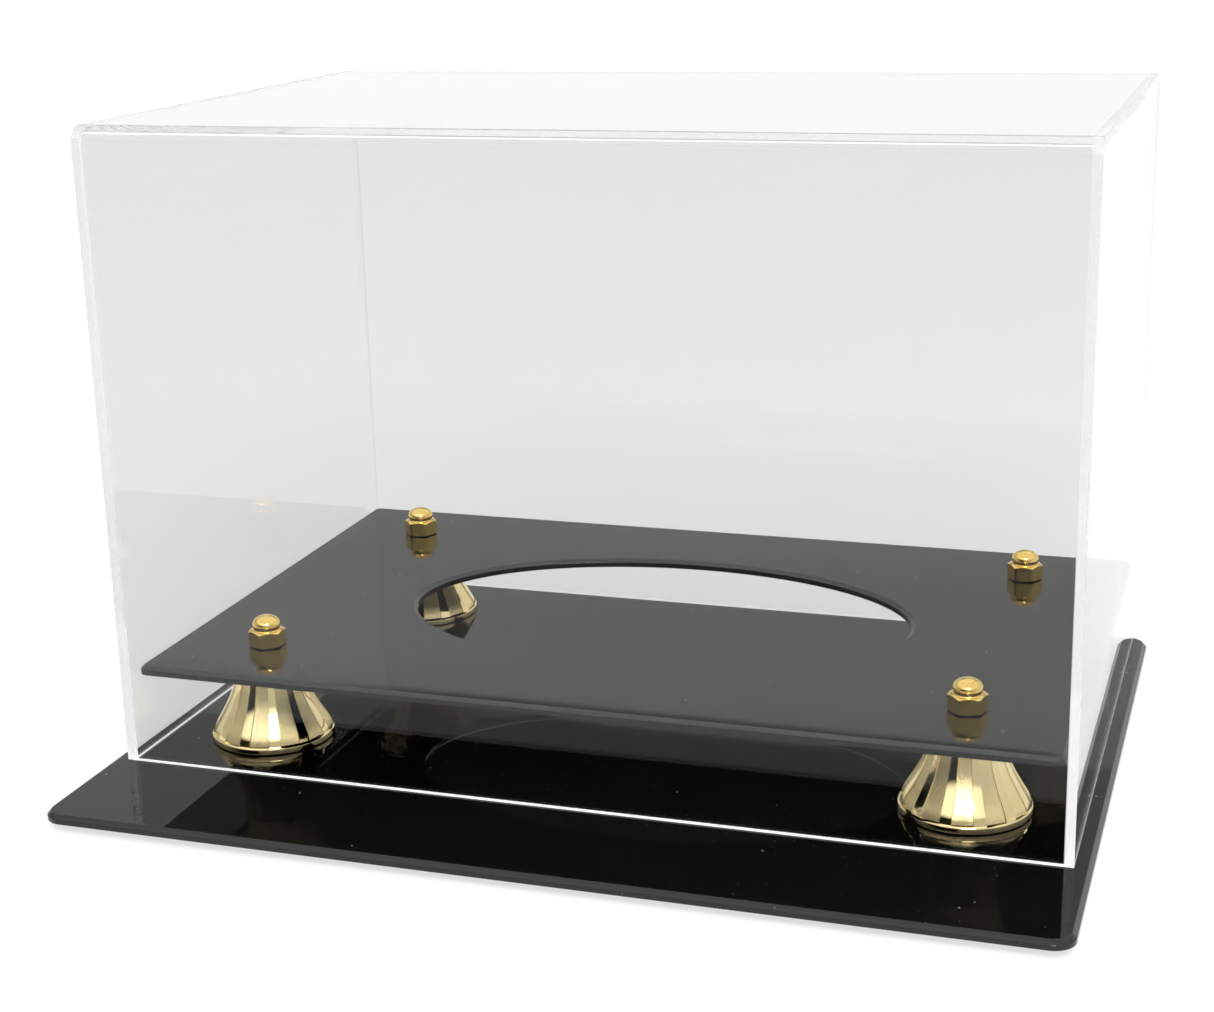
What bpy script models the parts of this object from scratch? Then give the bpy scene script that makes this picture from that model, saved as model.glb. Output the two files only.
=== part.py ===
"""Display case for a ball: a clear acrylic cover over a black base and a raised black platform.

The platform stands on four fluted gilt risers and carries an oval opening that cradles the ball.
Each corner is held by one long screw from under the base, closed by a cap nut on the platform.
Frame: origin on the ground under the middle of the base, +X to the right, +Y to the back, +Z up.
"""

import math

import bmesh
import bpy

# sheets and small gaps
SHEET = 0.0034
GAP = 0.0003

# feet and base plate
FOOT_RADIUS = 0.00635
FOOT_HEIGHT = 0.0032
FOOT_INSET = 0.018
BASE_LENGTH = 0.368
BASE_DEPTH = 0.287
BASE_CORNER = 0.008
BASE_CHAMFER = 0.0016
BASE_BOTTOM = FOOT_HEIGHT + GAP
BASE_TOP = BASE_BOTTOM + SHEET

# cover, set back on the base so that a ledge is left at the front
COVER_LENGTH = 0.356
COVER_DEPTH = 0.234
COVER_HEIGHT = 0.2402
COVER_CENTRE_Y = 0.026
COVER_BOTTOM = BASE_TOP + GAP
COVER_TOP = BASE_TOP + COVER_HEIGHT
BEND_RADIUS = 0.00625
PANEL_EDGE = 0.0006

# platform with its oval opening
PLATFORM_LENGTH = 0.347
PLATFORM_DEPTH = 0.2215
PLATFORM_CORNER = 0.004
PLATFORM_CHAMFER = 0.0015
PLATFORM_TOP = BASE_TOP + 0.0368
PLATFORM_BOTTOM = PLATFORM_TOP - SHEET
OVAL_LONG = 0.1016
OVAL_SHORT = 0.0642
OVAL_CHAMFER = 0.0014

# screw positions, from the platform's centre
SCREW_X = 0.1357
SCREW_Y = 0.0762
SCREW_RADIUS = 0.003175
HOLE_RADIUS = 0.0035
HEAD_RADIUS = 0.006
HEAD_HEIGHT = 0.0023
SCREW_IN_NUT = 0.0085

# risers: radius at each height above the riser's foot
RISER_BOTTOM = BASE_TOP + GAP
RISER_HEIGHT = PLATFORM_BOTTOM - GAP - RISER_BOTTOM
RISER_RING = ((0.0, 0.0238), (0.0022, 0.0238), (0.0029, 0.0233))
RISER_FLUTED = (
    (0.0034, 0.0231),
    (0.0073, 0.0214),
    (0.0110, 0.0191),
    (0.0147, 0.0171),
    (0.0190, 0.0152),
    (0.0245, 0.0134),
)
RISER_TOP_RADIUS = 0.0119
FLUTES = 12
FLUTE_HALF_ANGLE = math.radians(9.5)
FLUTE_SINK = 0.0007
RECESS_RADIUS = 0.011
RECESS_DEPTH = 0.025

# cap nuts
NUT_HALF_FLATS = 0.00635
NUT_FACE_RADIUS = 0.0059
NUT_HEX_HEIGHT = 0.0063
NUT_CHAMFER_SLOPE = math.tan(math.radians(30))
NUT_NECK_RADIUS = 0.0053
NUT_NECK_HEIGHT = 0.0082
NUT_DOME_RADIUS = 0.00545
NUT_DOME_RISE = 0.0036
NUT_BORE_DEPTH = 0.0095
NUT_STEPS = 24

# corner name: side in X, side in Y, turn of the riser's flutes, turn of the nut's flats
CORNERS = {
    "front_left": (-1, -1, math.radians(-77.0), math.radians(2.7)),
    "front_right": (1, -1, math.radians(-83.3), math.radians(43.0)),
    "back_left": (-1, 1, math.radians(-88.0), math.radians(42.0)),
    "back_right": (1, 1, math.radians(-71.0), math.radians(32.4)),
}

# colour, roughness, metallic, transmission of each material
MATERIALS = {
    "black_acrylic": ((0.006, 0.006, 0.007), 0.04, 0.0, 0.0),
    "clear_acrylic": ((0.95, 0.97, 0.97), 0.02, 0.0, 1.0),
    "gilt": ((0.86, 0.74, 0.52), 0.10, 1.0, 0.0),
    "brass": ((0.80, 0.60, 0.26), 0.14, 1.0, 0.0),
    "steel": ((0.58, 0.58, 0.60), 0.25, 1.0, 0.0),
    "foot_rubber": ((0.70, 0.71, 0.72), 0.45, 0.0, 0.3),
}


def clear_scene():
    """Remove whatever the start-up file holds."""
    for item in list(bpy.data.objects):
        bpy.data.objects.remove(item, do_unlink=True)


def make_material(name):
    """Make one Principled material from the table."""
    colour, roughness, metallic, transmission = MATERIALS[name]
    material = bpy.data.materials.new(name)
    material.use_nodes = True
    shader = material.node_tree.nodes["Principled BSDF"]
    shader.inputs["Base Color"].default_value = (*colour, 1.0)
    shader.inputs["Roughness"].default_value = roughness
    shader.inputs["Metallic"].default_value = metallic
    shader.inputs["Transmission Weight"].default_value = transmission
    shader.inputs["IOR"].default_value = 1.49
    return material


def finish_object(name, mesh, slot, smooth_angle=None):
    """Tidy a bmesh, turn it into a named object and give it its material."""
    bmesh.ops.remove_doubles(mesh, verts=mesh.verts, dist=0.000001)
    bmesh.ops.recalc_face_normals(mesh, faces=mesh.faces)
    data = bpy.data.meshes.new(name)
    mesh.to_mesh(data)
    mesh.free()
    item = bpy.data.objects.new(name, data)
    bpy.context.scene.collection.objects.link(item)
    data.materials.append(slots[slot])
    if smooth_angle is not None:
        data.shade_smooth()
        data.set_sharp_from_angle(angle=smooth_angle)
    return item


def bridge_rings(mesh, rings):
    """Join neighbouring rings of equal length with quads."""
    for lower, upper in zip(rings, rings[1:]):
        count = len(lower)
        for index in range(count):
            after = (index + 1) % count
            mesh.faces.new((lower[index], lower[after], upper[after], upper[index]))


def stack_of_rings(rings, close_bottom=True, close_top=True):
    """Build a bmesh from rings of points, closed by a flat face at either end."""
    mesh = bmesh.new()
    made = [[mesh.verts.new(point) for point in ring] for ring in rings]
    bridge_rings(mesh, made)
    if close_bottom:
        mesh.faces.new(list(reversed(made[0])))
    if close_top:
        mesh.faces.new(made[-1])
    return mesh


def circle(centre_x, centre_y, radius, height, steps, turn=0.0):
    """Points of a level circle."""
    angles = [turn + 2.0 * math.pi * index / steps for index in range(steps)]
    return [
        (centre_x + radius * math.cos(angle), centre_y + radius * math.sin(angle), height)
        for angle in angles
    ]


def rounded_rectangle(centre_y, length, depth, corner, inset, height, steps=7):
    """Points of a level rectangle with round corners, drawn in by an inset."""
    points = []
    half_x = length / 2.0 - corner
    half_y = depth / 2.0 - corner
    for quarter, (side_x, side_y) in enumerate(((1, 1), (-1, 1), (-1, -1), (1, -1))):
        for step in range(steps + 1):
            angle = math.pi / 2.0 * (quarter + step / steps)
            x = side_x * half_x + (corner - inset) * math.cos(angle)
            y = side_y * half_y + (corner - inset) * math.sin(angle)
            points.append((x, centre_y + y, height))
    return points


def oval(half_long, half_short, height, steps=64):
    """Points of a level oval round the middle of the platform."""
    angles = [2.0 * math.pi * index / steps for index in range(steps)]
    return [
        (half_long * math.cos(angle), COVER_CENTRE_Y + half_short * math.sin(angle), height)
        for angle in angles
    ]


def cut(target, cutter):
    """Subtract a cutter that stays out of the renders."""
    cutter.display_type = "WIRE"
    cutter.hide_render = True
    modifier = target.modifiers.new("cut_" + cutter.name, "BOOLEAN")
    modifier.operation = "DIFFERENCE"
    modifier.solver = "EXACT"
    modifier.object = cutter


def screw_centres():
    """Middle of each corner's screw, with the corner's name."""
    for corner, (side_x, side_y, _, _) in CORNERS.items():
        yield corner, side_x * SCREW_X, COVER_CENTRE_Y + side_y * SCREW_Y


def hole_cutter(name, low, high):
    """One cutter with the four screw holes of a sheet."""
    mesh = bmesh.new()
    for _, x, y in screw_centres():
        rings = [circle(x, y, HOLE_RADIUS, height, 24) for height in (low, high)]
        made = [[mesh.verts.new(point) for point in ring] for ring in rings]
        bridge_rings(mesh, made)
        mesh.faces.new(list(reversed(made[0])))
        mesh.faces.new(made[1])
    return finish_object(name, mesh, "steel")


def sheet_rings(centre_y, length, depth, corner, chamfer, bottom, top):
    """Outline rings of a flat sheet whose upper edge is chamfered."""
    levels = ((0.0, bottom), (0.0, top - chamfer), (chamfer, top))
    return [
        rounded_rectangle(centre_y, length, depth, corner, inset, height)
        for inset, height in levels
    ]


def build_base():
    """Flat base plate with four screw holes."""
    rings = sheet_rings(0.0, BASE_LENGTH, BASE_DEPTH, BASE_CORNER, BASE_CHAMFER, BASE_BOTTOM, BASE_TOP)
    base = finish_object("base_plate", stack_of_rings(rings), "black_acrylic")
    cut(base, hole_cutter("base_holes", BASE_BOTTOM - 0.002, BASE_TOP + 0.002))


def build_platform():
    """Raised sheet with four screw holes and the chamfered oval opening."""
    rings = sheet_rings(
        COVER_CENTRE_Y,
        PLATFORM_LENGTH,
        PLATFORM_DEPTH,
        PLATFORM_CORNER,
        PLATFORM_CHAMFER,
        PLATFORM_BOTTOM,
        PLATFORM_TOP,
    )
    platform = finish_object("platform", stack_of_rings(rings), "black_acrylic")
    levels = (
        (0.0, PLATFORM_BOTTOM - 0.002),
        (0.0, PLATFORM_TOP - OVAL_CHAMFER),
        (OVAL_CHAMFER + 0.001, PLATFORM_TOP + 0.001),
    )
    rings = [oval(OVAL_LONG + grow, OVAL_SHORT + grow, height) for grow, height in levels]
    cut(platform, finish_object("platform_oval", stack_of_rings(rings), "steel"))
    cut(platform, hole_cutter("platform_holes", PLATFORM_BOTTOM - 0.002, PLATFORM_TOP + 0.002))


def flute_angles():
    """Angle and share of the full sink, all the way round a riser."""
    pitch = 2.0 * math.pi / FLUTES
    for flute in range(FLUTES):
        middle = flute * pitch
        yield middle - FLUTE_HALF_ANGLE, 0.0
        yield middle - FLUTE_HALF_ANGLE * 0.45, 1.0
        yield middle + FLUTE_HALF_ANGLE * 0.45, 1.0
        yield middle + FLUTE_HALF_ANGLE, 0.0


def riser_ring(x, y, turn, radius, height, sink):
    """One level ring of a riser, sunk where the flutes run."""
    points = []
    for angle, share in flute_angles():
        reach = radius - sink * share
        points.append((x + reach * math.cos(turn + angle), y + reach * math.sin(turn + angle), height))
    return points


def build_riser(corner, x, y, turn):
    """Fluted trumpet foot with a wide rim, a recess below and a screw hole through its top."""
    rows = [(height, radius, 0.0) for height, radius in RISER_RING]
    rows += [(height, radius, FLUTE_SINK) for height, radius in RISER_FLUTED]
    rows.append((RISER_HEIGHT, RISER_TOP_RADIUS, FLUTE_SINK))
    rows.append((RISER_HEIGHT, HOLE_RADIUS, 0.0))
    rows.append((RECESS_DEPTH, HOLE_RADIUS, 0.0))
    rows.append((RECESS_DEPTH, RECESS_RADIUS, 0.0))
    rows.append((0.0, RECESS_RADIUS, 0.0))
    rows.append((0.0, RISER_RING[0][1], 0.0))
    rings = [
        riser_ring(x, y, turn, radius, RISER_BOTTOM + height, sink)
        for height, radius, sink in rows
    ]
    mesh = stack_of_rings(rings, close_bottom=False, close_top=False)
    finish_object("riser_" + corner, mesh, "gilt", math.radians(28))


def hexagon_reach(angle):
    """Distance from a nut's axis to its hexagon's outline, flats facing angle 0."""
    folded = (angle + math.pi / 6.0) % (math.pi / 3.0) - math.pi / 6.0
    return NUT_HALF_FLATS / math.cos(folded)


def nut_rings(x, y, turn):
    """All rings of a cap nut from its underside over the dome to the end of the blind hole."""
    angles = [math.pi / 6.0 + 2.0 * math.pi * index / NUT_STEPS for index in range(NUT_STEPS)]
    base = PLATFORM_TOP + GAP

    def ring(reach, height):
        return [
            (x + reach(a) * math.cos(turn + a), y + reach(a) * math.sin(turn + a), base + height(a))
            for a in angles
        ]

    def level(radius, height):
        return ring(lambda a: radius, lambda a: height)

    def chamfer_drop(a):
        return (hexagon_reach(a) - NUT_FACE_RADIUS) * NUT_CHAMFER_SLOPE

    rings = [
        level(NUT_FACE_RADIUS, 0.0),
        ring(hexagon_reach, lambda a: chamfer_drop(a) * 0.5),
        ring(hexagon_reach, lambda a: NUT_HEX_HEIGHT - chamfer_drop(a)),
        level(NUT_FACE_RADIUS, NUT_HEX_HEIGHT),
        level(NUT_NECK_RADIUS, NUT_HEX_HEIGHT),
        level(NUT_NECK_RADIUS, NUT_NECK_HEIGHT),
    ]
    for step in range(5):
        angle = math.pi / 2.0 * step / 5.0
        radius = NUT_DOME_RADIUS * math.cos(angle)
        rings.append(level(radius, NUT_NECK_HEIGHT + 0.0003 + NUT_DOME_RISE * math.sin(angle)))
    return rings, level


def build_cap_nut(corner, x, y, turn):
    """Hexagon nut with a neck, a flattened dome and a blind hole from below."""
    rings, level = nut_rings(x, y, turn)
    mesh = bmesh.new()
    made = [[mesh.verts.new(point) for point in ring] for ring in rings]
    hole_foot = [mesh.verts.new(point) for point in level(HOLE_RADIUS, 0.0)]
    hole_end = [mesh.verts.new(point) for point in level(HOLE_RADIUS, NUT_BORE_DEPTH)]
    bridge_rings(mesh, [hole_end, hole_foot] + made)
    mesh.faces.new(made[-1])
    mesh.faces.new(hole_end)
    finish_object("cap_nut_" + corner, mesh, "brass", math.radians(24))


def build_screw(corner, x, y):
    """Pan-head screw from under the base up into the cap nut."""
    head_top = BASE_BOTTOM - GAP
    head_low = head_top - HEAD_HEIGHT
    rows = (
        (HEAD_RADIUS * 0.72, head_low),
        (HEAD_RADIUS, head_low + 0.0011),
        (HEAD_RADIUS, head_top),
        (SCREW_RADIUS, head_top),
        (SCREW_RADIUS, PLATFORM_TOP + SCREW_IN_NUT - 0.0006),
        (SCREW_RADIUS - 0.0006, PLATFORM_TOP + SCREW_IN_NUT),
    )
    rings = [circle(x, y, radius, height, 16) for radius, height in rows]
    finish_object("screw_" + corner, stack_of_rings(rings), "steel", math.radians(40))


def build_foot(corner, side_x, side_y):
    """Round bumper under one corner of the base."""
    x = side_x * (BASE_LENGTH / 2.0 - FOOT_INSET)
    y = side_y * (BASE_DEPTH / 2.0 - FOOT_INSET)
    rows = (
        (FOOT_RADIUS - 0.0012, 0.0),
        (FOOT_RADIUS - 0.0004, 0.0006),
        (FOOT_RADIUS, 0.0016),
        (FOOT_RADIUS, FOOT_HEIGHT),
    )
    rings = [circle(x, y, radius, height, 20) for radius, height in rows]
    finish_object("foot_" + corner, stack_of_rings(rings), "foot_rubber", math.radians(50))


def bend_outline(inset, steps=6):
    """Front foot, over the two bends, to the back foot, as (y, z) points drawn in by an inset."""
    half = COVER_DEPTH / 2.0 - inset
    top = COVER_TOP - inset
    radius = BEND_RADIUS - inset
    points = [(-half, COVER_BOTTOM)]
    for step in range(steps + 1):
        angle = math.pi / 2.0 * step / steps
        points.append((-half + radius - radius * math.cos(angle), top - radius + radius * math.sin(angle)))
    for step in range(steps + 1):
        angle = math.pi / 2.0 * step / steps
        points.append((half - radius + radius * math.sin(angle), top - radius + radius * math.cos(angle)))
    points.append((half, COVER_BOTTOM))
    return [(COVER_CENTRE_Y + y, z) for y, z in points]


def build_cover_wrap():
    """One sheet bent twice into the front, the top and the back of the cover."""
    half = COVER_LENGTH / 2.0 - SHEET - GAP
    outline = bend_outline(0.0) + list(reversed(bend_outline(SHEET)))
    rings = [[(x, y, z) for y, z in outline] for x in (-half, half)]
    finish_object("cover_wrap", stack_of_rings(rings), "clear_acrylic", math.radians(35))


def build_cover_end(name, side):
    """Flat end panel that closes one end of the bent sheet."""
    outer = COVER_LENGTH / 2.0
    inner = outer - SHEET
    levels = ((0.0, inner), (0.0, outer - PANEL_EDGE), (PANEL_EDGE, outer))
    rings = []
    for inset, x in levels:
        outline = bend_outline(inset)
        outline[0] = (outline[0][0], COVER_BOTTOM + inset)
        outline[-1] = (outline[-1][0], COVER_BOTTOM + inset)
        rings.append([(side * x, y, z) for y, z in outline])
    finish_object(name, stack_of_rings(rings), "clear_acrylic")


clear_scene()
slots = {name: make_material(name) for name in MATERIALS}
build_base()
build_platform()
for corner_name, centre_x, centre_y in screw_centres():
    side_of_x, side_of_y, flute_turn, nut_turn = CORNERS[corner_name]
    build_riser(corner_name, centre_x, centre_y, flute_turn)
    build_cap_nut(corner_name, centre_x, centre_y, nut_turn)
    build_screw(corner_name, centre_x, centre_y)
    build_foot(corner_name, side_of_x, side_of_y)
build_cover_wrap()
build_cover_end("cover_end_left", -1)
build_cover_end("cover_end_right", 1)
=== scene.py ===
"""Display case for a ball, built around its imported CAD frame: looks, stage, lights and camera."""

import math

import bmesh
import bpy
from mathutils import Matrix, Vector


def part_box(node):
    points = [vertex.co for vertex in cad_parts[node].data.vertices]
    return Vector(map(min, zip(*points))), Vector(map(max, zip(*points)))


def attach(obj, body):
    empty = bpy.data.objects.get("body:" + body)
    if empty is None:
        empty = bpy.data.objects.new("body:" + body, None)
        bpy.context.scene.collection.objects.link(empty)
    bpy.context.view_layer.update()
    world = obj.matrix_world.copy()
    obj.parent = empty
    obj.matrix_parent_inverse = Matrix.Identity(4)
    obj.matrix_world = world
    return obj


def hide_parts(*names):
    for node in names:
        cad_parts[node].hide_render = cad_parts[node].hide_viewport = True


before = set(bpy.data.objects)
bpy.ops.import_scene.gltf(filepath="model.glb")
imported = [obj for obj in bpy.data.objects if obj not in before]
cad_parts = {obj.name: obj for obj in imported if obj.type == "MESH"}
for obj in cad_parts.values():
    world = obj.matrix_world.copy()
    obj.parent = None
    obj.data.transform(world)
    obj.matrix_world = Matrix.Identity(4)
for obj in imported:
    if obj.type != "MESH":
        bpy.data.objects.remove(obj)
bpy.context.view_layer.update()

MM = 0.001
QUARTER_TURN = math.pi / 2.0
FULL_TURN = 2.0 * math.pi
UP = (0.0, 0.0, 1.0)
RIGHT = (1.0, 0.0, 0.0)
LEFT = (-1.0, 0.0, 0.0)
FRONT = (0.0, -1.0, 0.0)
CORNERS = ("front_left", "front_right", "back_left", "back_right")

# what the CAD says
BASE_LOW, BASE_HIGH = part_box("base_plate")
PLATE_LOW, PLATE_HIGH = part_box("platform")
WRAP_LOW, WRAP_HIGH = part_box("cover_wrap")
COVER_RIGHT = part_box("cover_end_right")[1].x

# sheets
SHEET = 3.4 * MM
BASE_CORNER = 8.0 * MM
BASE_CORNER_STEPS = 20
BASE_CHAMFER = 1.6 * MM
PLATE_CORNER = 4.0 * MM
PLATE_CORNER_STEPS = 12
PLATE_CHAMFER = 1.5 * MM
OVAL_LONG = 101.6 * MM
OVAL_SHORT = 64.2 * MM
OVAL_STEPS = 256
OVAL_CHAMFER = 1.4 * MM
HOLE_RADIUS = 3.5 * MM
HOLE_STEPS = 32
SOFT_EDGE = 0.12 * MM
SOFT_SLANT = 0.7 * SOFT_EDGE
ACRYLIC_IOR = 1.49
MILLED_SLOT = 1

# cover
BEND_RADIUS = 6.25 * MM
BEND_STEPS = 40
PANEL_EDGE = 0.6 * MM
PANEL_EDGE_STEPS = 5
SEAM_WIDTH = 0.12 * MM
SEAM_DEPTH = 0.05 * MM
# slot of the cover's lower edge, whose material carries a painted glow
GLOWING_SAWN_SLOT = 1
RIM_SLOT = 2

# risers, in millimetres: height above the base's top face and radius, for the ring and the body
RISER_RING = ((0.3, 23.5), (0.45, 23.75), (2.0, 23.8), (2.45, 23.72), (2.75, 23.5), (2.95, 23.3))
RISER_BODY = (
    (3.15, 23.2),
    (4.6, 22.75),
    (6.1, 22.05),
    (7.6, 21.2),
    (9.3, 20.15),
    (11.3, 18.95),
    (14.7, 17.1),
    (18.0, 15.6),
    (22.0, 14.15),
    (27.0, 12.85),
    (33.1, 11.85),
)
RISER_BODY_STEPS = 4
RISER_BORE = 3.5
RISER_RECESS = 11.0
RISER_RECESS_TOP = 25.0

# flutes of the risers, with the turn of each riser in degrees
FLUTES = 12
FLUTE_PITCH = FULL_TURN / FLUTES
FLUTE_HALF = math.radians(9.5)
FLUTE_EDGE = math.radians(0.25)
FLUTE_STEPS = 3
FLUTE_LEDGE = 0.42 * MM
RIB_SHARES = (0.3, 0.7)
FLUTE_TURN = {"front_left": -77.0, "front_right": -83.3, "back_left": -88.0, "back_right": -71.0}

# cap nuts, in millimetres, with the turn of each in degrees; the neck's rows are a radius and a
# height above the hexagon
NUT_STEPS = 96
NUT_BORE = 3.5
NUT_BORE_DEPTH = 9.5
NUT_HALF_FLATS = 6.35
NUT_CORNER = 7.24
NUT_FACE = 5.95
NUT_HEX_HEIGHT = 6.3
NUT_SLOPE = math.tan(math.radians(30))
NUT_FOOT_SHARE = 0.55
NUT_NECK = ((5.42, 0.12), (5.24, 0.35), (5.22, 1.45), (5.32, 1.7))
NUT_DOME = 5.45
NUT_DOME_LOW = 8.25
NUT_DOME_RISE = 3.6
NUT_DOME_STEPS = 14
NUT_TURN = {"front_left": 2.7, "front_right": 43.0, "back_left": 42.0, "back_right": 32.4}

# stick-on feet
PAD_STEPS = 48
PAD_ROUND = 1.3 * MM
PAD_ROUND_RISE = 1.6 * MM
PAD_ROUND_STEPS = 8
PAD_BREAK = 0.1 * MM

# floor, with the places in Y between which its glow grows; in front of them the glow is painted dim,
# a painted shade on the floor in front of the case
FLOOR_HALF = 15.0
FLOOR_STEPS = 6
FLOOR_DROP = 0.1 * MM
GLOW_FRONT, GLOW_BACK = -0.37, -0.25
GLOW_LEAST, GLOW_MOST = 0.08, 0.67

# studio: brightness of each part of the room
ABOVE_WALL_LIGHT = 0.012
BACK_LIGHT = 0.78
LOW_LIGHT = 1.05
CEILING_LIGHT = 1.30
FRONT_LIGHT = 1.85
FRONT_LOW_SHARE = 0.40
LEFT_LIGHT = 0.68
NEAR_RIGHT_LIGHT = 0.53
RIGHT_LIGHT = 0.95

# studio: where each part begins and ends, as a share of a ray's direction
WALL_SLOPE = 0.4265
WALL_EDGE = (-0.003, 0.003)
BACK_FADE = (0.15, 0.28)
CEILING_EDGE = (0.47, 0.60)
LEFT_EDGE = (0.385, 0.43)
NEAR_RIGHT_EDGE = (-0.112, -0.090)
RIGHT_EDGE = (0.10, 0.30)
FRONT_EDGE = (0.30, 0.75)
FRONT_RISE = (0.36, 0.52)
LOW_SIDE = (-0.10, 0.02)
LOW_RISE = (-0.05, 0.10)

# softbox and camera
LAMP_PLACE = (0.45, -1.05, 1.05)
LAMP_TARGET = (0.0, 0.0, 0.05)
LAMP_SIZE = 0.46
LAMP_POWER = 12.0
CAMERA_PLACE = (0.23689, -0.74415, 0.32157)
CAMERA_LOOK = (-0.305199, 0.910490, -0.279038)
CAMERA_ROLL = math.radians(1.433)
CAMERA_LENS = 62.67
SENSOR_WIDTH = 36.0
CLIP_NEAR = 0.01
CLIP_FAR = 100.0

# bounces enough for the light that the cover's sheets lead to their edges
ALL_BOUNCES = 160
GLOSSY_BOUNCES = 150
CLEAR_BOUNCES = 60


# ---------------------------------------------------------------- materials


class Tree:
    """Shorthand for building one material's node tree."""

    def __init__(self, name):
        self.material = bpy.data.materials.new(name)
        self.material.use_nodes = True
        self.nodes = self.material.node_tree.nodes
        self.links = self.material.node_tree.links
        self.shader = self.nodes["Principled BSDF"]

    def add(self, kind, **values):
        """New node with some of its settings."""
        node = self.nodes.new(kind)
        for key, value in values.items():
            setattr(node, key, value)
        return node

    def join(self, source, target):
        """Link an output to an input."""
        self.links.new(source, target)

    def place(self, scale=1.0):
        """Object coordinates, stretched by a scale of one or three numbers."""
        coordinates = self.add("ShaderNodeTexCoord")
        mapping = self.add("ShaderNodeMapping")
        factors = scale if isinstance(scale, tuple) else (scale,) * 3
        mapping.inputs["Scale"].default_value = factors
        self.join(coordinates.outputs["Object"], mapping.inputs["Vector"])
        return mapping.outputs["Vector"]

    def noise(self, vector, scale, detail, roughness):
        """Cloudy noise from 0 to 1."""
        node = self.add("ShaderNodeTexNoise")
        node.inputs["Scale"].default_value = scale
        node.inputs["Detail"].default_value = detail
        node.inputs["Roughness"].default_value = roughness
        self.join(vector, node.inputs["Vector"])
        return node.outputs["Fac"]

    def span(self, value, low, high, to_low=0.0, to_high=1.0):
        """Map a value's span to another one, clamped."""
        node = self.add("ShaderNodeMapRange")
        node.inputs["From Min"].default_value = low
        node.inputs["From Max"].default_value = high
        node.inputs["To Min"].default_value = to_low
        node.inputs["To Max"].default_value = to_high
        self.join(value, node.inputs["Value"])
        return node.outputs["Result"]

    def maths(self, operation, first, second):
        """One number from two, each a number or an output."""
        node = self.add("ShaderNodeMath", operation=operation)
        for socket, value in zip(node.inputs, (first, second)):
            if isinstance(value, (int, float)):
                socket.default_value = value
            else:
                self.join(value, socket)
        return node.outputs["Value"]

    def blend(self, share, first, second):
        """Mix two colours by a share."""
        node = self.add("ShaderNodeMix", data_type="RGBA")
        self.join(share, node.inputs[0])
        for socket, value in ((node.inputs[6], first), (node.inputs[7], second)):
            if isinstance(value, tuple):
                socket.default_value = (*value, 1.0)
            else:
                self.join(value, socket)
        return node.outputs[2]

    def bump(self, height, distance, strength, below=None):
        """Relief from a height, on top of the relief below it."""
        node = self.add("ShaderNodeBump")
        node.inputs["Strength"].default_value = strength
        node.inputs["Distance"].default_value = distance
        self.join(height, node.inputs["Height"])
        if below is not None:
            self.join(below, node.inputs["Normal"])
        return node.outputs["Normal"]

    def specks(self, vector, scale, reach, share):
        """Small round dots at random places: 1 inside a dot, 0 elsewhere."""
        cells = self.add("ShaderNodeTexVoronoi")
        cells.inputs["Scale"].default_value = scale
        self.join(vector, cells.inputs["Vector"])
        near = self.span(cells.outputs["Distance"], reach, reach * 0.5)
        split = self.add("ShaderNodeSeparateColor")
        self.join(cells.outputs["Color"], split.inputs["Color"])
        chosen = self.maths("LESS_THAN", split.outputs[0], share)
        return self.maths("MULTIPLY", near, chosen)

    def set(self, **values):
        """Fill inputs of the shader, named with underscores, and give back the material."""
        for key, value in values.items():
            socket = self.shader.inputs[key.replace("_", " ")]
            if isinstance(value, (int, float, tuple)):
                socket.default_value = (*value, 1.0) if isinstance(value, tuple) else value
            else:
                self.join(value, socket)
        return self.material


def black_acrylic():
    """Polished black sheet: faint ripple, hairline scratches and a little dust."""
    tree = Tree("black_acrylic")
    place = tree.place()
    dust = tree.specks(place, scale=240.0, reach=0.10, share=0.06)
    fine = tree.specks(place, scale=800.0, reach=0.14, share=0.03)
    both = tree.maths("MAXIMUM", dust, fine)
    colour = tree.blend(both, (0.0022, 0.0022, 0.0024), (0.34, 0.33, 0.31))
    haze = tree.noise(place, 14.0, 4.0, 0.6)
    clean = tree.span(haze, 0.35, 0.75, 0.012, 0.035)
    rough = tree.maths("MAXIMUM", clean, tree.maths("MULTIPLY", both, 0.5))
    hairs = tree.noise(tree.place((900.0, 9.0, 300.0)), 1.0, 1.0, 0.4)
    lines = tree.span(hairs, 0.72, 0.80)
    ripple = tree.noise(place, 9.0, 1.0, 0.3)
    waves = tree.bump(ripple, 0.12 * MM, 0.5)
    normal = tree.bump(lines, 0.004 * MM, 0.25, waves)
    return tree.set(Base_Color=colour, Roughness=rough, IOR=ACRYLIC_IOR, Normal=normal)


def milled_black():
    """Milled chamfer of the black platform: satin, with fine streaks along the cut."""
    tree = Tree("milled_black")
    streaks = tree.noise(tree.place((25.0, 25.0, 2600.0)), 1.0, 3.0, 0.6)
    return tree.set(
        Base_Color=tree.blend(streaks, (0.030, 0.031, 0.034), (0.105, 0.108, 0.116)),
        Roughness=tree.span(streaks, 0.3, 0.7, 0.26, 0.38),
        IOR=ACRYLIC_IOR,
        Normal=tree.bump(streaks, 0.01 * MM, 0.4),
    )


def clear_acrylic():
    """Clear sheet with the faint unevenness of a drawn plate."""
    tree = Tree("clear_acrylic")
    place = tree.place()
    veil = tree.noise(place, 22.0, 3.0, 0.5)
    tint = tree.blend(veil, (0.848, 0.853, 0.847), (0.858, 0.863, 0.857))
    wave = tree.bump(tree.noise(place, 12.0, 1.0, 0.3), 0.1 * MM, 0.25)
    return tree.set(
        Base_Color=tint,
        Roughness=0.0,
        IOR=ACRYLIC_IOR,
        Transmission_Weight=1.0,
        Specular_Tint=(0.28, 0.28, 0.28),
        Normal=wave,
    )


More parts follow.
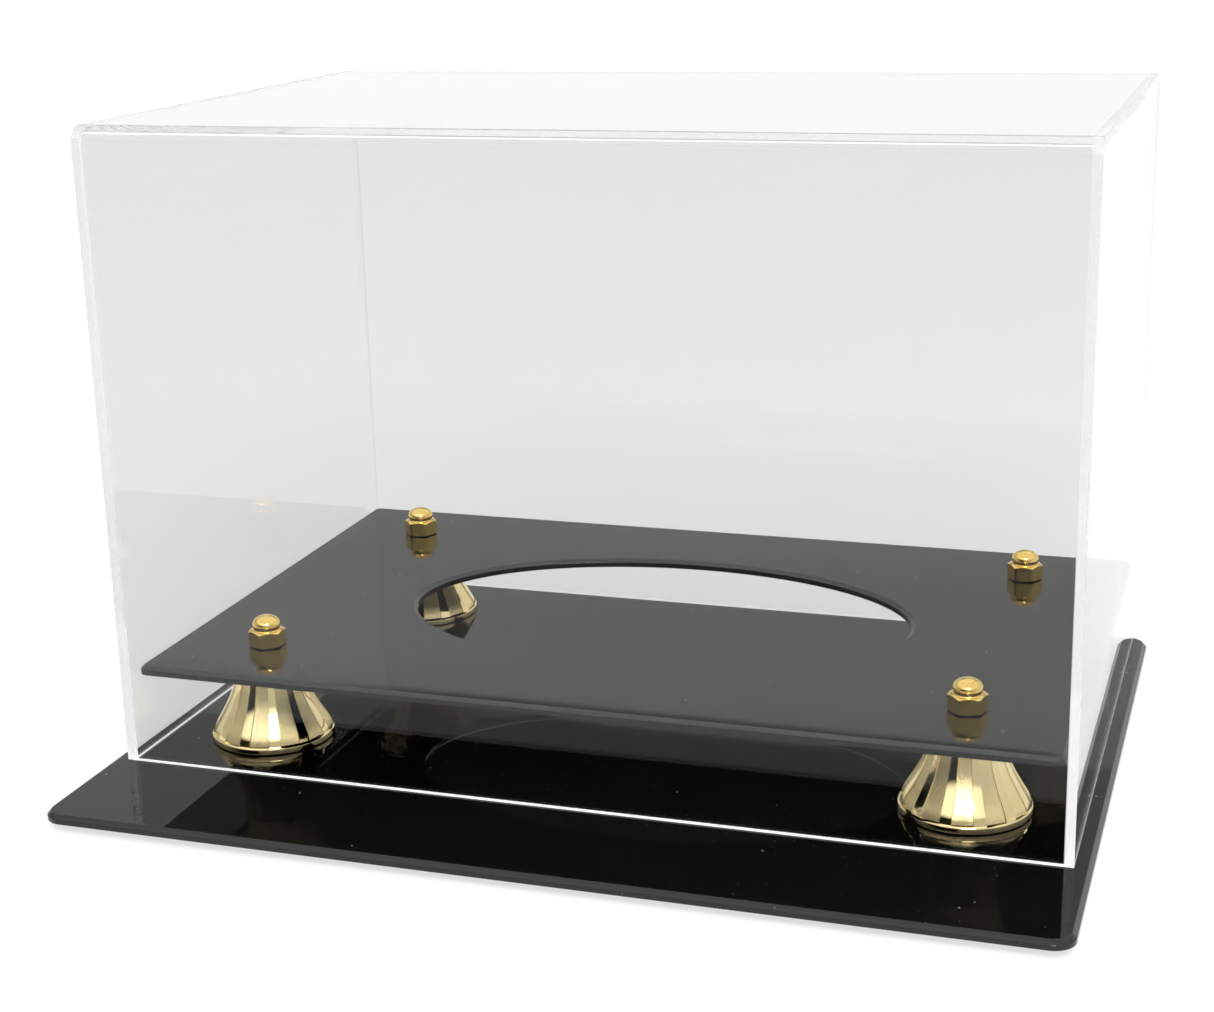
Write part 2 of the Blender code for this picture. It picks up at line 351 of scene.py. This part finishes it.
def scraped_edge():
    """Scraped edges of the end panels: clear sheet with a fine satin finish."""
    tree = Tree("scraped_edge")
    place = tree.place()
    marks = tree.noise(tree.place((500.0, 40.0, 40.0)), 1.0, 2.0, 0.5)
    cloud = tree.noise(place, 25.0, 2.0, 0.5)
    return tree.set(
        Base_Color=tree.blend(cloud, (0.82, 0.83, 0.825), (0.86, 0.87, 0.865)),
        Roughness=tree.span(cloud, 0.3, 0.7, 0.19, 0.23),
        IOR=ACRYLIC_IOR,
        Transmission_Weight=0.92,
        Normal=tree.bump(marks, 0.004 * MM, 0.3),
    )


def sawn_edge_painted_glow():
    """Fine-milled lower edge of the cover: it scatters the light led down through the sheet, and a
    painted glow of its own adds to that.
    """
    tree = Tree("sawn_edge_painted_glow")
    place = tree.place()
    grain = tree.noise(place, 2600.0, 2.0, 0.6)
    colour = tree.blend(grain, (0.90, 0.91, 0.91), (0.99, 0.99, 0.99))
    return tree.set(
        Base_Color=colour,
        Roughness=0.55,
        IOR=ACRYLIC_IOR,
        # painted glow: the lower edge emits white light though it is no lamp
        Emission_Color=(1.0, 1.0, 1.0),
        Emission_Strength=0.62,
        Normal=tree.bump(grain, 0.03 * MM, 0.4),
    )


def gilt():
    """Bright pale plating: smooth ribs and ring, stippled flutes."""
    tree = Tree("gilt")
    place = tree.place()
    flute = tree.add("ShaderNodeAttribute", attribute_name="flute").outputs["Fac"]
    cloud = tree.noise(place, 55.0, 3.0, 0.5)
    colour = tree.blend(cloud, (0.98, 0.75, 0.36), (1.0, 0.86, 0.50))
    grain = tree.noise(place, 2000.0, 2.0, 0.65)
    peel = tree.bump(tree.noise(place, 300.0, 1.0, 0.4), 0.04 * MM, 0.25)
    stipple = tree.add("ShaderNodeBump")
    stipple.inputs["Distance"].default_value = 0.2 * MM
    tree.join(tree.maths("MULTIPLY", flute, 0.70), stipple.inputs["Strength"])
    tree.join(grain, stipple.inputs["Height"])
    tree.join(peel, stipple.inputs["Normal"])
    satin = tree.span(flute, 0.0, 1.0, 0.06, 0.17)
    rough = tree.maths("ADD", satin, tree.span(grain, 0.3, 0.8, 0.0, 0.05))
    normal = stipple.outputs["Normal"]
    return tree.set(Base_Color=colour, Metallic=1.0, Roughness=rough, Normal=normal)


def brass():
    """Satin brass with fine turning marks and slight tarnish."""
    tree = Tree("brass")
    place = tree.place()
    cloud = tree.noise(place, 180.0, 4.0, 0.6)
    colour = tree.blend(cloud, (0.84, 0.54, 0.13), (1.0, 0.77, 0.28))
    rings = tree.noise(tree.place((150.0, 150.0, 3200.0)), 1.0, 2.0, 0.5)
    pits = tree.noise(place, 4200.0, 1.0, 0.5)
    rough = tree.span(cloud, 0.3, 0.7, 0.13, 0.22)
    under = tree.bump(rings, 0.012 * MM, 0.4)
    return tree.set(
        Base_Color=colour,
        Metallic=1.0,
        Roughness=rough,
        Normal=tree.bump(pits, 0.01 * MM, 0.3, under),
    )


def zinc_steel():
    """Zinc-plated screw."""
    tree = Tree("zinc_steel")
    place = tree.place()
    cloud = tree.noise(place, 300.0, 4.0, 0.6)
    colour = tree.blend(cloud, (0.50, 0.51, 0.53), (0.68, 0.69, 0.70))
    threads = tree.noise(tree.place((40.0, 40.0, 900.0)), 1.0, 1.0, 0.4)
    return tree.set(
        Base_Color=colour,
        Metallic=1.0,
        Roughness=tree.span(cloud, 0.3, 0.7, 0.22, 0.36),
        Normal=tree.bump(threads, 0.1 * MM, 0.5),
    )


def bumper():
    """Soft translucent foot."""
    tree = Tree("bumper")
    place = tree.place()
    cloud = tree.noise(place, 240.0, 3.0, 0.5)
    colour = tree.blend(cloud, (0.62, 0.63, 0.64), (0.80, 0.81, 0.82))
    return tree.set(
        Base_Color=colour,
        Roughness=tree.span(cloud, 0.3, 0.7, 0.35, 0.5),
        Transmission_Weight=0.25,
        Normal=tree.bump(cloud, 0.1 * MM, 0.3),
    )


def floor_white():
    """Pale sweep, lit from within like a light table, with its glow painted dim towards the front:
    painted shade on the floor in front of the case.
    """
    tree = Tree("floor_white")
    mottle = tree.noise(tree.place(), 3.0, 2.0, 0.5)
    colour = tree.blend(mottle, (0.33, 0.33, 0.33), (0.35, 0.35, 0.35))
    split = tree.add("ShaderNodeSeparateXYZ")
    tree.join(tree.place(), split.inputs[0])
    # painted shade: the glow falls from GLOW_MOST to GLOW_LEAST towards the front, with nothing there
    # to shade it
    glow = tree.span(split.outputs["Y"], GLOW_FRONT, GLOW_BACK, GLOW_LEAST, GLOW_MOST)
    return tree.set(
        Base_Color=colour,
        Roughness=0.9,
        Emission_Color=(1.0, 1.0, 1.0),
        Emission_Strength=glow,
        Specular_IOR_Level=0.0,
    )


# ---------------------------------------------------------------- mesh helpers


def add_object(name, data):
    """Put data in the scene as an object."""
    item = bpy.data.objects.new(name, data)
    bpy.context.scene.collection.objects.link(item)
    return item


def new_object(name, mesh, materials, sharp=30.0, weighted=False):
    """Turn a bmesh into a shaded object; edges sharper than an angle in degrees stay hard."""
    bmesh.ops.recalc_face_normals(mesh, faces=mesh.faces)
    data = bpy.data.meshes.new(name)
    mesh.to_mesh(data)
    mesh.free()
    item = add_object(name, data)
    for material in materials:
        data.materials.append(material)
    data.set_sharp_from_angle(angle=math.radians(sharp))
    if weighted:
        modifier = item.modifiers.new("even_normals", "WEIGHTED_NORMAL")
        modifier.keep_sharp = True
        modifier.weight = 100
    return item


def bridge(mesh, rings, closed=True):
    """Join neighbouring rings with smooth quads."""
    for lower, upper in zip(rings, rings[1:]):
        count = len(lower)
        for index in range(count if closed else count - 1):
            after = (index + 1) % count
            face = mesh.faces.new((lower[index], lower[after], upper[after], upper[index]))
            face.smooth = True


def add_rings(mesh, rings):
    """Make the vertices of several rings."""
    return [[mesh.verts.new(point) for point in ring] for ring in rings]


def loop_edges(mesh, ring):
    """Edges that run round a closed ring of vertices."""
    pairs = zip(ring, ring[1:] + ring[:1])
    return [mesh.edges.get(pair) or mesh.edges.new(pair) for pair in pairs]


def quarter_angles(steps):
    """Angles from nothing to a quarter turn."""
    return [QUARTER_TURN * step / steps for step in range(steps + 1)]


def full_angles(steps):
    """Angles once round, without the one that closes the ring."""
    return [FULL_TURN * step / steps for step in range(steps)]


def around(centre, reach, angle, height):
    """Point at a reach and an angle round a centre."""
    return centre[0] + reach * math.cos(angle), centre[1] + reach * math.sin(angle), height


def middle(low, high):
    """Middle of a box in plan."""
    return (low.x + high.x) / 2.0, (low.y + high.y) / 2.0


def rounded_rectangle(low, high, corner, inset, height, steps):
    """Level rectangle with round corners, drawn in by an inset."""
    centres = (
        (high.x - corner, high.y - corner),
        (low.x + corner, high.y - corner),
        (low.x + corner, low.y + corner),
        (high.x - corner, low.y + corner),
    )
    points = []
    for quarter, centre in enumerate(centres):
        for step in range(steps + 1):
            angle = QUARTER_TURN * (quarter + step / steps)
            points.append(around(centre, corner - inset, angle, height))
    return points


def ellipse(centre, half_x, half_y, height, steps):
    """Level ellipse."""
    return [
        (centre[0] + half_x * math.cos(angle), centre[1] + half_y * math.sin(angle), height)
        for angle in full_angles(steps)
    ]


def chamfer_levels(low, high, chamfer):
    """Inset and height up the side of a sheet: soft lower edge, wall, softened chamfer."""
    return (
        (SOFT_EDGE, low),
        (0.0, low + SOFT_EDGE),
        (0.0, high - chamfer - SOFT_EDGE),
        (SOFT_SLANT, high - chamfer + SOFT_SLANT),
        (chamfer - SOFT_SLANT, high - SOFT_SLANT),
        (chamfer + SOFT_EDGE, high),
    )


def sheet_mesh(outer, holes):
    """Closed sheet from the rings up its outer side and the rings up each hole."""
    mesh = bmesh.new()
    bottom = []
    top = []
    for rings in [outer] + holes:
        made = add_rings(mesh, rings)
        bridge(mesh, made)
        bottom += loop_edges(mesh, made[0])
        top += loop_edges(mesh, made[-1])
    for edges in (bottom, top):
        bmesh.ops.triangle_fill(mesh, edges=edges, use_beauty=True, use_dissolve=False)
    return mesh


def curve_value(a, b, c, d, t):
    """Catmull-Rom value at a share t of the way from b to c."""
    bend = (2 * a - 5 * b + 4 * c - d) * t * t
    return 0.5 * (2 * b + (c - a) * t + bend + (3 * b - a - 3 * c + d) * t ** 3)


def smooth_rows(points, steps):
    """Catmull-Rom rows through (height, radius) points."""
    padded = (points[0],) + points + (points[-1],)
    rows = []
    for index in range(len(points) - 1):
        near = padded[index:index + 4]
        for step in range(steps):
            rows.append(tuple(curve_value(*values, step / steps) for values in zip(*near)))
    rows.append(points[-1])
    return rows


def dress(piece, nodes, body):
    """Put a piece on its body and hide the CAD nodes it stands for."""
    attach(piece, body)
    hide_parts(*nodes)


def corner_centre(corner):
    """Middle of a corner's screw in plan."""
    return middle(*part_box("screw_" + corner))


# ---------------------------------------------------------------- pieces


def screw_hole_rings(low, high):
    """Rings up the wall of each screw hole."""
    stacks = []
    for corner in CORNERS:
        centre = corner_centre(corner)
        stacks.append([ellipse(centre, HOLE_RADIUS, HOLE_RADIUS, z, HOLE_STEPS) for z in (low, high)])
    return stacks


def build_base(material):
    """Base plate with a chamfered upper edge and four screw holes."""
    outer = [
        rounded_rectangle(BASE_LOW, BASE_HIGH, BASE_CORNER, inset, height, BASE_CORNER_STEPS)
        for inset, height in chamfer_levels(BASE_LOW.z, BASE_HIGH.z, BASE_CHAMFER)
    ]
    mesh = sheet_mesh(outer, screw_hole_rings(BASE_LOW.z, BASE_HIGH.z))
    piece = new_object("base_sheet", mesh, [material], weighted=True)
    dress(piece, ["base_plate"], "base")


def build_platform(material, milled):
    """Raised platform with its oval opening, screw holes and milled chamfers."""
    outer = [
        rounded_rectangle(PLATE_LOW, PLATE_HIGH, PLATE_CORNER, inset, height, PLATE_CORNER_STEPS)
        for inset, height in chamfer_levels(PLATE_LOW.z, PLATE_HIGH.z, PLATE_CHAMFER)
    ]
    centre = middle(PLATE_LOW, PLATE_HIGH)
    oval = [
        ellipse(centre, OVAL_LONG + inset, OVAL_SHORT + inset, height, OVAL_STEPS)
        for inset, height in chamfer_levels(PLATE_LOW.z, PLATE_HIGH.z, OVAL_CHAMFER)
    ]
    mesh = sheet_mesh(outer, [oval] + screw_hole_rings(PLATE_LOW.z, PLATE_HIGH.z))
    cut_low = PLATE_HIGH.z - PLATE_CHAMFER
    cut_high = PLATE_HIGH.z - SOFT_EDGE * 0.5
    for face in mesh.faces:
        heights = [vertex.co.z for vertex in face.verts]
        if cut_low < min(heights) and max(heights) < cut_high:
            face.material_index = MILLED_SLOT
    piece = new_object("platform_sheet", mesh, [material, milled], weighted=True)
    dress(piece, ["platform"], "base")


def riser_angles():
    """Angles round a riser from its first flute, with 1 in a flute and 0 on a rib."""
    for flute in range(FLUTES):
        centre = flute * FLUTE_PITCH
        yield centre - FLUTE_HALF - FLUTE_EDGE, 0
        for step in range(-FLUTE_STEPS, FLUTE_STEPS + 1):
            yield centre + (FLUTE_HALF - FLUTE_EDGE) * step / FLUTE_STEPS, 1
        yield centre + FLUTE_HALF + FLUTE_EDGE, 0
        for share in RIB_SHARES:
            yield centre + FLUTE_HALF + (FLUTE_PITCH - 2.0 * FLUTE_HALF) * share, 0


def flute_reach(angle, radius):
    """Distance to a flute's flat floor at an angle from the first flute's middle."""
    off = (angle + FLUTE_PITCH / 2.0) % FLUTE_PITCH - FLUTE_PITCH / 2.0
    return (radius - FLUTE_LEDGE) * math.cos(FLUTE_HALF) / math.cos(off)


def riser_rows(top):
    """Height, radius and 1 where fluted, up the side to the top and down inside to the foot."""
    foot = RISER_RING[0][0]
    body = smooth_rows(RISER_BODY, RISER_BODY_STEPS)
    rows = [(height, radius, 0) for height, radius in RISER_RING]
    rows += [(height, radius, 1) for height, radius in body[:-1]]
    rows += [(top, body[-1][1], 1), (top, RISER_BORE, 0), (RISER_RECESS_TOP, RISER_BORE, 0)]
    rows += [(RISER_RECESS_TOP, RISER_RECESS, 0), (foot, RISER_RECESS, 0)]
    return rows


def build_riser(corner, material):
    """Fluted riser with a smooth ring at its foot, a bore and a recess, as one closed skin."""
    low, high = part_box("riser_" + corner)
    centre = corner_centre(corner)
    turn = math.radians(FLUTE_TURN[corner])
    zero = low.z - RISER_RING[0][0] * MM
    angles = list(riser_angles())
    mesh = bmesh.new()
    sunk = mesh.verts.layers.float.new("flute")
    rings = []
    for height, radius, fluted in riser_rows((high.z - zero) / MM):
        ring = []
        for angle, in_flute in angles:
            share = fluted * in_flute
            reach = flute_reach(angle, radius * MM) if share else radius * MM
            vertex = mesh.verts.new(around(centre, reach, turn + angle, zero + height * MM))
            vertex[sunk] = float(share)
            ring.append(vertex)
        rings.append(ring)
    rings.append(rings[0])
    bridge(mesh, rings)
    piece = new_object("riser_gilt_" + corner, mesh, [material], sharp=26.0)
    dress(piece, ["riser_" + corner], "base")


def hexagon(angle):
    """Distance to the nut's outline with slightly broken corners, flats facing angle 0."""
    folded = (angle + math.pi / 6.0) % (math.pi / 3.0) - math.pi / 6.0
    return min(NUT_HALF_FLATS / math.cos(folded), NUT_CORNER)


def chamfer_fall(angle):
    """How far the nut's chamfer falls from its round face to its outline."""
    return (hexagon(angle) - NUT_FACE) * NUT_SLOPE


def nut_rows():
    """Reach and height of each row as functions of the angle, from the bore to the dome."""

    def level(radius, height):
        """Round row at one height."""
        return (lambda angle: radius), (lambda angle: height)

    rows = [
        level(NUT_BORE, NUT_BORE_DEPTH),
        level(NUT_BORE, 0.0),
        level(NUT_FACE, 0.0),
        (hexagon, lambda angle: chamfer_fall(angle) * NUT_FOOT_SHARE),
        (hexagon, lambda angle: NUT_HEX_HEIGHT - chamfer_fall(angle)),
        level(NUT_FACE, NUT_HEX_HEIGHT),
    ]
    rows += [level(radius, NUT_HEX_HEIGHT + rise) for radius, rise in NUT_NECK]
    rows += [
        level(NUT_DOME * math.cos(angle), NUT_DOME_LOW + NUT_DOME_RISE * math.sin(angle))
        for angle in quarter_angles(NUT_DOME_STEPS)[:-1]
    ]
    return rows


def build_nut(corner, material):
    """Cap nut: chamfered hexagon, short neck and domed crown over a blind bore."""
    low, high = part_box("cap_nut_" + corner)
    centre = corner_centre(corner)
    turn = math.radians(NUT_TURN[corner])
    mesh = bmesh.new()
    rings = []
    for reach, height in nut_rows():
        ring = []
        for angle in full_angles(NUT_STEPS):
            z = min(low.z + height(angle) * MM, high.z)
            ring.append(mesh.verts.new(around(centre, reach(angle) * MM, turn + angle, z)))
        rings.append(ring)
    bridge(mesh, rings)
    crown = mesh.verts.new((*centre, high.z))
    last = rings[-1]
    for first, second in zip(last, last[1:] + last[:1]):
        face = mesh.faces.new((first, second, crown))
        face.smooth = True
    mesh.faces.new(rings[0])
    piece = new_object("cap_nut_brass_" + corner, mesh, [material], sharp=24.0)
    dress(piece, ["cap_nut_" + corner], "base")


def build_foot(corner, material):
    """Stick-on foot: a round pad with a well-rounded lower edge."""
    low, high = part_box("foot_" + corner)
    radius = (high.x - low.x) / 2.0
    height = high.z - low.z
    rows = [
        (radius - PAD_ROUND + PAD_ROUND * math.sin(angle), PAD_ROUND_RISE * (1.0 - math.cos(angle)))
        for angle in quarter_angles(PAD_ROUND_STEPS)
    ]
    rows += [(radius, height - PAD_BREAK), (radius - PAD_BREAK, height)]
    centre = middle(low, high)
    mesh = bmesh.new()
    made = add_rings(
        mesh, [ellipse(centre, reach, reach, low.z + rise, PAD_STEPS) for reach, rise in rows]
    )
    bridge(mesh, made)
    mesh.faces.new(made[0])
    mesh.faces.new(made[-1])
    piece = new_object("bumper_" + corner, mesh, [material], sharp=40.0)
    dress(piece, ["foot_" + corner], "base")


def cover_section(x, inset):
    """Section of the cover at a place in X: up the front, over both bends and down the back."""
    front = WRAP_LOW.y + inset
    back = WRAP_HIGH.y - inset
    top = WRAP_HIGH.z - inset
    radius = BEND_RADIUS - inset
    points = [(x, front, WRAP_LOW.z)]
    for angle in quarter_angles(BEND_STEPS):
        y = front + radius - radius * math.cos(angle)
        points.append((x, y, top - radius + radius * math.sin(angle)))
    for angle in quarter_angles(BEND_STEPS):
        y = back - radius + radius * math.sin(angle)
        points.append((x, y, top - radius + radius * math.cos(angle)))
    points.append((x, back, WRAP_LOW.z))
    return points


def build_cover(material, glowing_sawn_material, rim_material):
    """The glued cover: bent sheet and two end panels, with a hairline seam where they meet."""
    inner = COVER_RIGHT - SHEET
    half = [(inner - SEAM_WIDTH, 0.0), (inner, SEAM_DEPTH), (inner + SEAM_WIDTH, 0.0)]
    for angle in quarter_angles(PANEL_EDGE_STEPS):
        x = COVER_RIGHT - PANEL_EDGE * (1.0 - math.sin(angle))
        half.append((x, PANEL_EDGE * (1.0 - math.cos(angle))))
    stations = [(-x, inset) for x, inset in reversed(half)] + half
    mesh = bmesh.new()
    rings = add_rings(mesh, [cover_section(x, inset) for x, inset in stations])
    bridge(mesh, rings, closed=False)
    for face in mesh.faces:
        if min(abs(vertex.co.x) for vertex in face.verts) > inner:
            face.material_index = RIM_SLOT
    mesh.faces.new(rings[0])
    mesh.faces.new(rings[-1])
    inside = add_rings(mesh, [cover_section(x, SHEET) for x in (-inner, inner)])
    bridge(mesh, inside, closed=False)
    mesh.faces.new(inside[0])
    mesh.faces.new(inside[1])
    outer_foot = [ring[0] for ring in rings] + [ring[-1] for ring in reversed(rings)]
    inner_foot = [inside[0][0], inside[1][0], inside[1][-1], inside[0][-1]]
    edges = loop_edges(mesh, outer_foot) + loop_edges(mesh, inner_foot)
    made = bmesh.ops.triangle_fill(mesh, edges=edges, use_beauty=True, use_dissolve=False)
    # the lower edge's faces take the sawn-edge material, which carries a painted glow
    for item in made["geom"]:
        if isinstance(item, bmesh.types.BMFace):
            item.material_index = GLOWING_SAWN_SLOT
    piece = new_object("cover_shell", mesh, [material, glowing_sawn_material, rim_material], weighted=True)
    dress(piece, ["cover_wrap", "cover_end_left", "cover_end_right"], "cover")


def dress_screws(material):
    """The screws keep their CAD shape and take the plated look."""
    for corner in CORNERS:
        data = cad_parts["screw_" + corner].data
        data.materials.clear()
        data.materials.append(material)


# ---------------------------------------------------------------- stage, light and camera


def build_floor(material):
    """Large level floor just under the feet."""
    width = 2.0 * FLOOR_HALF
    places = [-FLOOR_HALF + width * step / FLOOR_STEPS for step in range(FLOOR_STEPS + 1)]
    mesh = bmesh.new()
    rows = add_rings(mesh, [[(x, y, 0.0) for x in places] for y in places])
    bridge(mesh, rows, closed=False)
    floor = new_object("floor", mesh, [material])
    floor.location.z = -FLOOR_DROP


def build_world():
    """White room: back wall with a level top edge, side walls and ceiling, dim at the front."""
    world = bpy.data.worlds.new("studio")
    world.use_nodes = True
    bpy.context.scene.world = world
    nodes = world.node_tree.nodes
    links = world.node_tree.links
    coordinates = nodes.new("ShaderNodeTexCoord")

    def reach(direction, edge, before, beyond):
        """Brightness before and beyond an edge in how far a ray points along a direction."""
        dot = nodes.new("ShaderNodeVectorMath")
        dot.operation = "DOT_PRODUCT"
        dot.inputs[1].default_value = direction
        links.new(coordinates.outputs["Generated"], dot.inputs[0])
        span = nodes.new("ShaderNodeMapRange")
        span.interpolation_type = "SMOOTHSTEP"
        values = {"From Min": edge[0], "From Max": edge[1], "To Min": before, "To Max": beyond}
        for name, value in values.items():
            span.inputs[name].default_value = value
        links.new(dot.outputs["Value"], span.inputs["Value"])
        return span.outputs["Result"]

    def combine(operation, first, second):
        """One number from two."""
        node = nodes.new("ShaderNodeMath")
        node.operation = operation
        links.new(first, node.inputs[0])
        links.new(second, node.inputs[1])
        return node.outputs["Value"]

    back_edge = reach((0.0, WALL_SLOPE, -1.0), WALL_EDGE, ABOVE_WALL_LIGHT, 1.0)
    back_fade = reach(UP, BACK_FADE, LOW_LIGHT, BACK_LIGHT)
    walls = combine("MULTIPLY", back_edge, back_fade)
    for part in (
        reach(UP, CEILING_EDGE, 0.0, CEILING_LIGHT),
        reach(LEFT, LEFT_EDGE, 0.0, LEFT_LIGHT),
        reach(RIGHT, NEAR_RIGHT_EDGE, 0.0, NEAR_RIGHT_LIGHT),
        reach(RIGHT, RIGHT_EDGE, 0.0, RIGHT_LIGHT),
    ):
        walls = combine("MAXIMUM", walls, part)
    behind = combine("MULTIPLY", walls, reach(FRONT, FRONT_EDGE, 1.0, 0.0))
    low_side = reach(RIGHT, LOW_SIDE, 0.0, FRONT_LOW_SHARE)
    low_part = combine("MULTIPLY", low_side, reach(UP, LOW_RISE, 0.0, 1.0))
    front_part = combine("MAXIMUM", reach(UP, FRONT_RISE, 0.0, 1.0), low_part)
    front_wall = combine("MULTIPLY", reach(FRONT, FRONT_EDGE, 0.0, FRONT_LIGHT), front_part)
    background = nodes["Background"]
    background.inputs["Color"].default_value = (1.0, 1.0, 1.0, 1.0)
    links.new(combine("ADD", behind, front_wall), background.inputs["Strength"])


def add_softbox(name, place, target, size, power):
    """Square area light that looks at a point."""
    lamp = bpy.data.lights.new(name, "AREA")
    lamp.energy = power
    lamp.size = size
    item = add_object(name, lamp)
    item.location = place
    item.rotation_euler = (Vector(target) - Vector(place)).to_track_quat("-Z", "Y").to_euler()


def add_camera():
    """Camera a little above the case, to the right of its front."""
    data = bpy.data.cameras.new("camera")
    data.sensor_width = SENSOR_WIDTH
    data.lens = CAMERA_LENS
    data.clip_start = CLIP_NEAR
    data.clip_end = CLIP_FAR
    item = add_object("camera", data)
    look = Vector(CAMERA_LOOK).normalized()
    right = look.cross(Vector(UP)).normalized()
    up = right.cross(look)
    side = right * math.cos(CAMERA_ROLL) - up * math.sin(CAMERA_ROLL)
    over = side.cross(look)
    turn = Matrix((side, over, -look)).transposed()
    item.matrix_world = Matrix.Translation(Vector(CAMERA_PLACE)) @ turn.to_4x4()
    bpy.context.scene.camera = item


bpy.context.scene.view_settings.view_transform = "Standard"
light_paths = bpy.context.scene.cycles
light_paths.max_bounces = ALL_BOUNCES
light_paths.glossy_bounces = GLOSSY_BOUNCES
light_paths.transmission_bounces = CLEAR_BOUNCES

black = black_acrylic()
build_base(black)
build_platform(black, milled_black())
gold = gilt()
yellow = brass()
soft = bumper()
for corner_name in CORNERS:
    build_riser(corner_name, gold)
    build_nut(corner_name, yellow)
    build_foot(corner_name, soft)
dress_screws(zinc_steel())
build_cover(clear_acrylic(), sawn_edge_painted_glow(), scraped_edge())

build_floor(floor_white())
build_world()
add_softbox("key_softbox", LAMP_PLACE, LAMP_TARGET, LAMP_SIZE, LAMP_POWER)
add_camera()
